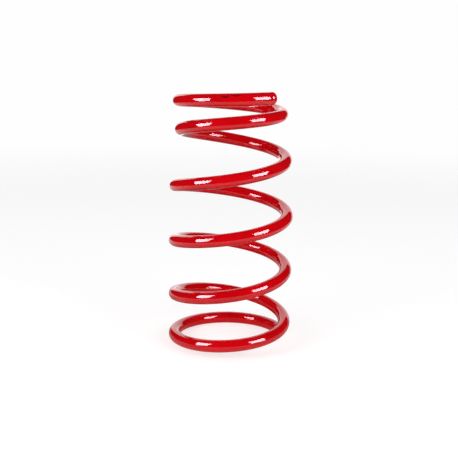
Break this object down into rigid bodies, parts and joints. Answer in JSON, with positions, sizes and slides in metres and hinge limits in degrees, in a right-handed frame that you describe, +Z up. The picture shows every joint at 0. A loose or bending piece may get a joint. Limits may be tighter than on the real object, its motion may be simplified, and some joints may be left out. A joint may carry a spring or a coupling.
{
  "type": "coil spring",
  "caption": "Right-handed helical compression spring of round wire with a gloss red coating, open plain ends and a slightly necked top, for a car suspension.",
  "frame": {"origin": "on the coil axis, level with the lowest point of the wire", "axes": "+Z up along the coil axis, from the lower seat to the upper seat; -Y towards the viewer of the front; the wire's lower tip is at azimuth 20 degrees and its upper tip at 311.5 degrees, counted about +Z from +X"},
  "size_m": [0.133, 0.133, 0.2744],
  "materials": {
    "red_coating": "gloss powder coat over steel wire"
  },
  "bodies": {
    "seated_coil": {"lower_end_coil": "red_coating", "coil_1_back_left": "red_coating", "coil_1_front_left": "red_coating"},
    "coil_1_front_right": {"coil_1_front_right": "red_coating"},
    "coil_1_back_right": {"coil_1_back_right": "red_coating"},
    "coil_2_back_left": {"coil_2_back_left": "red_coating"},
    "coil_2_front_left": {"coil_2_front_left": "red_coating"},
    "coil_2_front_right": {"coil_2_front_right": "red_coating"},
    "coil_2_back_right": {"coil_2_back_right": "red_coating"},
    "coil_3_back_left": {"coil_3_back_left": "red_coating"},
    "coil_3_front_left": {"coil_3_front_left": "red_coating"},
    "coil_3_front_right": {"coil_3_front_right": "red_coating"},
    "coil_3_back_right": {"coil_3_back_right": "red_coating"},
    "coil_4_back_left": {"coil_4_back_left": "red_coating"},
    "coil_4_front_left": {"coil_4_front_left": "red_coating"},
    "coil_4_front_right": {"coil_4_front_right": "red_coating"},
    "coil_4_back_right": {"coil_4_back_right": "red_coating"},
    "coil_5_back_left": {"coil_5_back_left": "red_coating"},
    "coil_5_front_left": {"coil_5_front_left": "red_coating"},
    "coil_5_front_right": {"coil_5_front_right": "red_coating"},
    "coil_5_back_right": {"coil_5_back_right": "red_coating"},
    "coil_6_back_left": {"coil_6_back_left": "red_coating"},
    "upper_end_coil": {"upper_end_coil": "red_coating"}
  },
  "joints": [
    {"name": "compression", "type": "slide", "parent": "seated_coil", "child": "upper_end_coil", "axis": [0, 0, 1], "range_m": [-0.115, 0], "stiffness_N_per_m": 33000},
    {"name": "coil_1_front_right_travel", "type": "slide", "parent": "seated_coil", "child": "coil_1_front_right", "axis": [0, 0, 1], "range_m": [-0.0014, 0]},
    {"name": "coil_1_back_right_travel", "type": "slide", "parent": "seated_coil", "child": "coil_1_back_right", "axis": [0, 0, 1], "range_m": [-0.0072, 0]},
    {"name": "coil_2_back_left_travel", "type": "slide", "parent": "seated_coil", "child": "coil_2_back_left", "axis": [0, 0, 1], "range_m": [-0.0144, 0]},
    {"name": "coil_2_front_left_travel", "type": "slide", "parent": "seated_coil", "child": "coil_2_front_left", "axis": [0, 0, 1], "range_m": [-0.0217, 0]},
    {"name": "coil_2_front_right_travel", "type": "slide", "parent": "seated_coil", "child": "coil_2_front_right", "axis": [0, 0, 1], "range_m": [-0.0288, 0]},
    {"name": "coil_2_back_right_travel", "type": "slide", "parent": "seated_coil", "child": "coil_2_back_right", "axis": [0, 0, 1], "range_m": [-0.036, 0]},
    {"name": "coil_3_back_left_travel", "type": "slide", "parent": "seated_coil", "child": "coil_3_back_left", "axis": [0, 0, 1], "range_m": [-0.0433, 0]},
    {"name": "coil_3_front_left_travel", "type": "slide", "parent": "seated_coil", "child": "coil_3_front_left", "axis": [0, 0, 1], "range_m": [-0.0505, 0]},
    {"name": "coil_3_front_right_travel", "type": "slide", "parent": "seated_coil", "child": "coil_3_front_right", "axis": [0, 0, 1], "range_m": [-0.0578, 0]},
    {"name": "coil_3_back_right_travel", "type": "slide", "parent": "seated_coil", "child": "coil_3_back_right", "axis": [0, 0, 1], "range_m": [-0.065, 0]},
    {"name": "coil_4_back_left_travel", "type": "slide", "parent": "seated_coil", "child": "coil_4_back_left", "axis": [0, 0, 1], "range_m": [-0.0723, 0]},
    {"name": "coil_4_front_left_travel", "type": "slide", "parent": "seated_coil", "child": "coil_4_front_left", "axis": [0, 0, 1], "range_m": [-0.0795, 0]},
    {"name": "coil_4_front_right_travel", "type": "slide", "parent": "seated_coil", "child": "coil_4_front_right", "axis": [0, 0, 1], "range_m": [-0.0868, 0]},
    {"name": "coil_4_back_right_travel", "type": "slide", "parent": "seated_coil", "child": "coil_4_back_right", "axis": [0, 0, 1], "range_m": [-0.094, 0]},
    {"name": "coil_5_back_left_travel", "type": "slide", "parent": "seated_coil", "child": "coil_5_back_left", "axis": [0, 0, 1], "range_m": [-0.1012, 0]},
    {"name": "coil_5_front_left_travel", "type": "slide", "parent": "seated_coil", "child": "coil_5_front_left", "axis": [0, 0, 1], "range_m": [-0.1076, 0]},
    {"name": "coil_5_front_right_travel", "type": "slide", "parent": "seated_coil", "child": "coil_5_front_right", "axis": [0, 0, 1], "range_m": [-0.1108, 0]},
    {"name": "coil_5_back_right_travel", "type": "slide", "parent": "seated_coil", "child": "coil_5_back_right", "axis": [0, 0, 1], "range_m": [-0.1126, 0]},
    {"name": "coil_6_back_left_travel", "type": "slide", "parent": "seated_coil", "child": "coil_6_back_left", "axis": [0, 0, 1], "range_m": [-0.1145, 0]}
  ],
  "couplings": [
    {"joint": "coil_1_front_right_travel", "follows": "compression", "ratio": 0.012},
    {"joint": "coil_1_back_right_travel", "follows": "compression", "ratio": 0.062},
    {"joint": "coil_2_back_left_travel", "follows": "compression", "ratio": 0.125},
    {"joint": "coil_2_front_left_travel", "follows": "compression", "ratio": 0.188},
    {"joint": "coil_2_front_right_travel", "follows": "compression", "ratio": 0.25},
    {"joint": "coil_2_back_right_travel", "follows": "compression", "ratio": 0.313},
    {"joint": "coil_3_back_left_travel", "follows": "compression", "ratio": 0.376},
    {"joint": "coil_3_front_left_travel", "follows": "compression", "ratio": 0.439},
    {"joint": "coil_3_front_right_travel", "follows": "compression", "ratio": 0.502},
    {"joint": "coil_3_back_right_travel", "follows": "compression", "ratio": 0.565},
    {"joint": "coil_4_back_left_travel", "follows": "compression", "ratio": 0.628},
    {"joint": "coil_4_front_left_travel", "follows": "compression", "ratio": 0.691},
    {"joint": "coil_4_front_right_travel", "follows": "compression", "ratio": 0.754},
    {"joint": "coil_4_back_right_travel", "follows": "compression", "ratio": 0.817},
    {"joint": "coil_5_back_left_travel", "follows": "compression", "ratio": 0.88},
    {"joint": "coil_5_front_left_travel", "follows": "compression", "ratio": 0.935},
    {"joint": "coil_5_front_right_travel", "follows": "compression", "ratio": 0.963},
    {"joint": "coil_5_back_right_travel", "follows": "compression", "ratio": 0.979},
    {"joint": "coil_6_back_left_travel", "follows": "compression", "ratio": 0.995}
  ]
}
